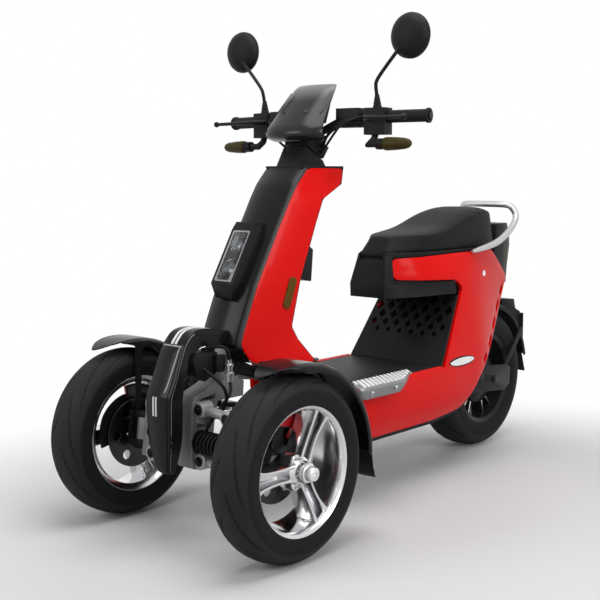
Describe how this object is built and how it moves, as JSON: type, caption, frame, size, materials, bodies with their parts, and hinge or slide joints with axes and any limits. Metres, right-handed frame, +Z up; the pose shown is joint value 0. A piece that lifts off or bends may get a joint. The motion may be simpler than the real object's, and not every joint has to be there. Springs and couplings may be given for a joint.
{
  "type": "tilting electric tricycle",
  "caption": "Electric tricycle with paired steered front wheels, tall leg shield, low step-through floor, lifting saddle over a store and a driven rear wheel.",
  "frame": {"origin": "on the ground under the middle of the vehicle's overall box", "axes": "+X forward, +Y to the rider's left, +Z up"},
  "size_m": [1.806, 0.777, 1.356],
  "materials": {
    "red_paint": "glossy painted panel",
    "black_gloss": "glossy black panel",
    "black_plastic": "matte moulded plastic",
    "gunmetal_gloss": "glossy dark grey panel",
    "tyre": "matte rubber",
    "wheel_silver": "polished cast alloy",
    "black_metal": "satin black paint",
    "grey_casting": "cast, satin",
    "steel": "ground",
    "red_caliper": "gloss paint",
    "bright_alloy": "satin bright",
    "amber_lens": "clear coloured lens",
    "clear_lens": "clear lens",
    "red_lens": "clear coloured lens",
    "mirror_glass": "silvered glass",
    "seat_cover": "matte grained seat cover",
    "grip_rubber": "moulded rubber"
  },
  "bodies": {
    "frame": {"main_frame": "black_metal", "front_carrier": "grey_casting", "uprights": "grey_casting", "tilt_arms": "grey_casting", "tilt_damper": "grey_casting", "tilt_spring": "black_metal", "nose_cover": "black_gloss", "leg_shield_front": "black_gloss", "leg_shield_left": "red_paint", "leg_shield_right": "red_paint", "leg_shield_inner": "black_plastic", "headlamp_housing": "black_gloss", "headlamp_lens": "clear_lens", "side_reflectors": "amber_lens", "floor_board": "black_plastic", "foot_plates": "bright_alloy", "belly_pan": "black_plastic", "battery_pack": "black_plastic", "side_panel_left": "red_paint", "side_panel_right": "red_paint", "seat_front_panel": "black_plastic", "seat_bucket": "black_plastic", "tail_cover": "black_gloss", "tail_lamp": "red_lens", "tail_indicators": "amber_lens", "grab_rail": "bright_alloy", "swingarm": "black_metal", "rear_shocks": "black_metal", "rear_mudguard": "black_plastic", "pillion_pegs": "bright_alloy"},
    "handlebar": {"steering_column": "black_metal", "handlebar": "black_metal", "grips": "grip_rubber", "switch_boxes": "black_plastic", "brake_levers": "black_metal", "mirror_shells": "black_plastic", "mirror_stems": "black_metal", "mirror_glasses": "mirror_glass", "cowl": "gunmetal_gloss", "display": "black_plastic", "indicator_lenses": "amber_lens"},
    "relay": {"steering_relay": "grey_casting"},
    "tie_rod_left": {"tie_rod_left": "grey_casting"},
    "tie_rod_right": {"tie_rod_right": "grey_casting"},
    "knuckle_left": {"knuckle_left": "black_metal", "caliper_left": "red_caliper", "front_mudguard_left": "black_gloss"},
    "knuckle_right": {"knuckle_right": "black_metal", "caliper_right": "red_caliper", "front_mudguard_right": "black_gloss"},
    "wheel_front_left": {"tyre_front_left": "tyre", "rim_front_left": "wheel_silver", "brake_disc_left": "steel"},
    "wheel_front_right": {"tyre_front_right": "tyre", "rim_front_right": "wheel_silver", "brake_disc_right": "steel"},
    "wheel_rear": {"tyre_rear": "tyre", "rim_rear": "black_metal"},
    "seat": {"seat_base": "black_plastic", "seat_cushion": "seat_cover"}
  },
  "joints": [
    {"name": "steer", "type": "hinge", "parent": "frame", "child": "handlebar", "pos_m": [0.2975, 0, 0.94], "axis": [-0.4617, 0, 0.887], "range_deg": [-30, 30]},
    {"name": "relay_turn", "type": "hinge", "parent": "frame", "child": "relay", "pos_m": [0.612, 0, 0.342], "axis": [-0.1392, 0, 0.9903], "range_deg": [-30, 30]},
    {"name": "knuckle_left_turn", "type": "hinge", "parent": "frame", "child": "knuckle_left", "pos_m": [0.698, 0.2, 0.255], "axis": [-0.1392, 0, 0.9903], "range_deg": [-30, 30]},
    {"name": "knuckle_right_turn", "type": "hinge", "parent": "frame", "child": "knuckle_right", "pos_m": [0.698, -0.2, 0.255], "axis": [-0.1392, 0, 0.9903], "range_deg": [-30, 30]},
    {"name": "tie_rod_left_turn", "type": "hinge", "parent": "relay", "child": "tie_rod_left", "pos_m": [0.56232, 0.016, 0.32189], "axis": [-0.1392, 0, 0.9903], "range_deg": [-30, 30]},
    {"name": "tie_rod_right_turn", "type": "hinge", "parent": "relay", "child": "tie_rod_right", "pos_m": [0.56232, -0.016, 0.32189], "axis": [-0.1392, 0, 0.9903], "range_deg": [-30, 30]},
    {"name": "wheel_front_left_spin", "type": "hinge", "parent": "knuckle_left", "child": "wheel_front_left", "pos_m": [0.6735, 0.3017, 0.2295], "axis": [0, 1, 0], "continuous": true},
    {"name": "wheel_front_right_spin", "type": "hinge", "parent": "knuckle_right", "child": "wheel_front_right", "pos_m": [0.6735, -0.3017, 0.2295], "axis": [0, 1, 0], "continuous": true},
    {"name": "wheel_rear_spin", "type": "hinge", "parent": "frame", "child": "wheel_rear", "pos_m": [-0.6185, 0, 0.2365], "axis": [0, 1, 0], "continuous": true},
    {"name": "seat_lid", "type": "hinge", "parent": "frame", "child": "seat", "pos_m": [-0.052, 0, 0.69], "axis": [0, 1, 0], "range_deg": [0, 75]}
  ],
  "couplings": [
    {"joint": "relay_turn", "follows": "steer", "ratio": 1},
    {"joint": "knuckle_left_turn", "follows": "steer", "ratio": 1},
    {"joint": "knuckle_right_turn", "follows": "steer", "ratio": 1},
    {"joint": "tie_rod_left_turn", "follows": "steer", "ratio": -1},
    {"joint": "tie_rod_right_turn", "follows": "steer", "ratio": -1}
  ]
}
